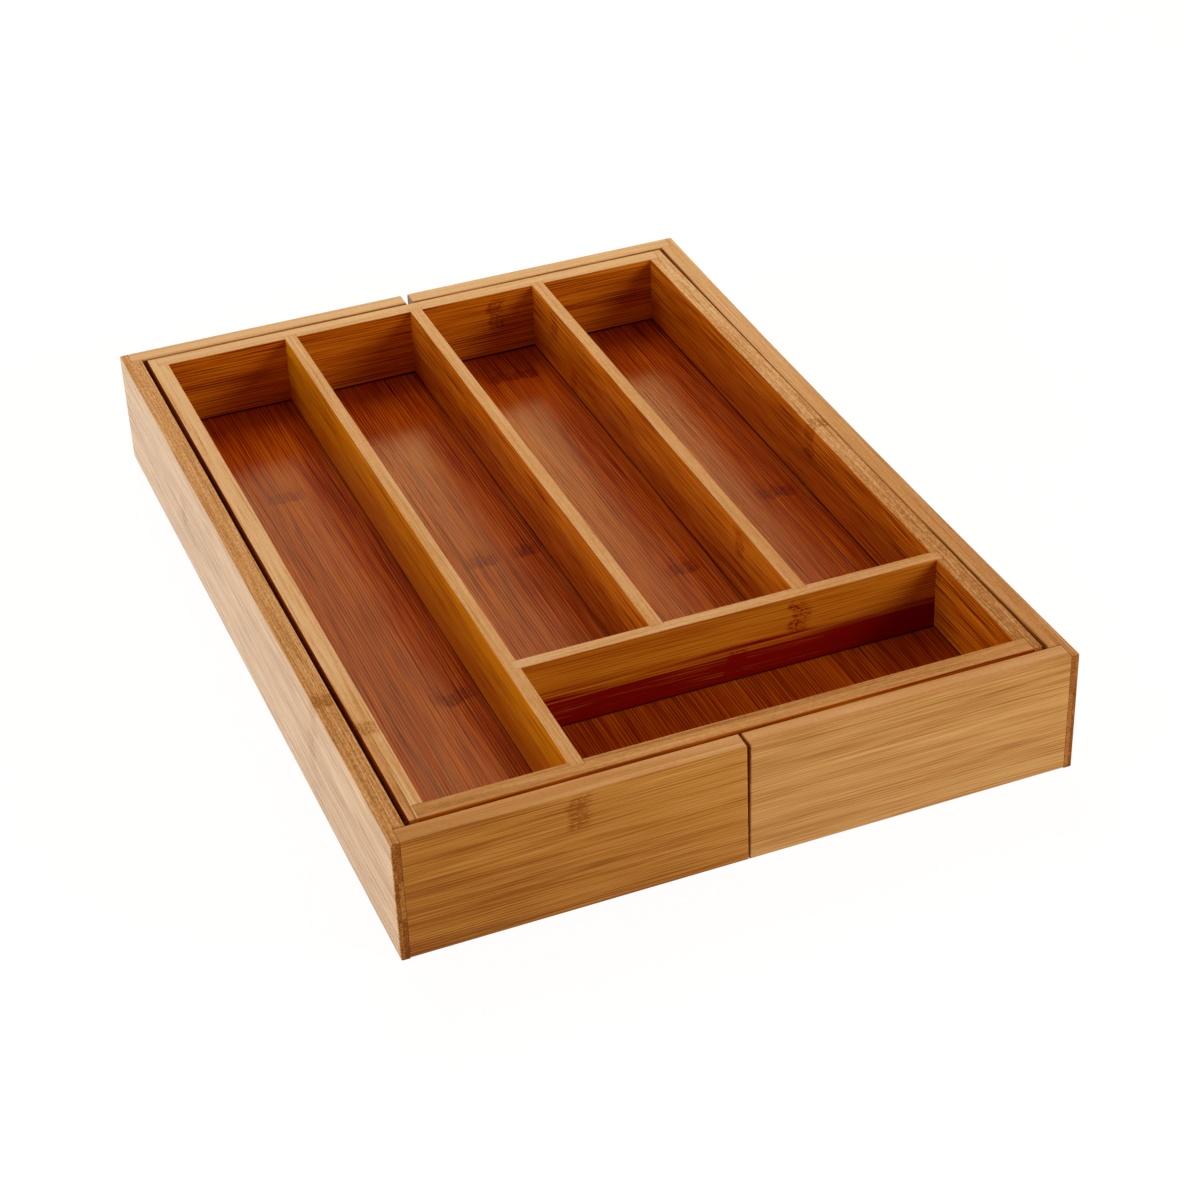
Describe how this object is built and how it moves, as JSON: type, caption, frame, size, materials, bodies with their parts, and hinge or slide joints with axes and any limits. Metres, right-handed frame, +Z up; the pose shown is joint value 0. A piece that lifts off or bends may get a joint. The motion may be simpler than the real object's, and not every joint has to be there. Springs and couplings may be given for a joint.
{
  "type": "cutlery tray",
  "caption": "Extending bamboo cutlery tray: a compartmented tray that stands inside pull-out frames, which slide apart sideways to fill a wider drawer.",
  "frame": {"origin": "on the table, under the middle of the closed tray", "axes": "+Z up, +Y from the front to the back along the long compartments, +X to the right"},
  "size_m": [0.31, 0.438, 0.0602],
  "materials": {
    "frame_bamboo": "satin lacquered bamboo",
    "tray_bamboo": "satin lacquered bamboo",
    "panel_bamboo": "satin lacquered bamboo"
  },
  "bodies": {
    "tray": {"tray_front": "tray_bamboo", "tray_back": "tray_bamboo", "tray_left": "tray_bamboo", "tray_right": "tray_bamboo", "tray_bottom": "panel_bamboo", "long_divider": "tray_bamboo", "middle_divider": "tray_bamboo", "right_divider": "tray_bamboo", "cross_divider": "tray_bamboo"},
    "left_frame": {"left_side": "frame_bamboo", "left_front_rail": "frame_bamboo", "left_back_rail": "frame_bamboo", "left_bottom": "panel_bamboo", "left_front_tongue": "frame_bamboo", "left_back_tongue": "frame_bamboo"},
    "right_frame": {"right_side": "frame_bamboo", "right_front_rail": "frame_bamboo", "right_back_rail": "frame_bamboo", "right_bottom": "panel_bamboo", "right_front_tongue": "frame_bamboo", "right_back_tongue": "frame_bamboo"}
  },
  "joints": [
    {"name": "left_pull", "type": "slide", "parent": "tray", "child": "left_frame", "axis": [-1, 0, 0], "range_m": [0, 0.095]},
    {"name": "right_pull", "type": "slide", "parent": "tray", "child": "right_frame", "axis": [1, 0, 0], "range_m": [0, 0.095]}
  ]
}
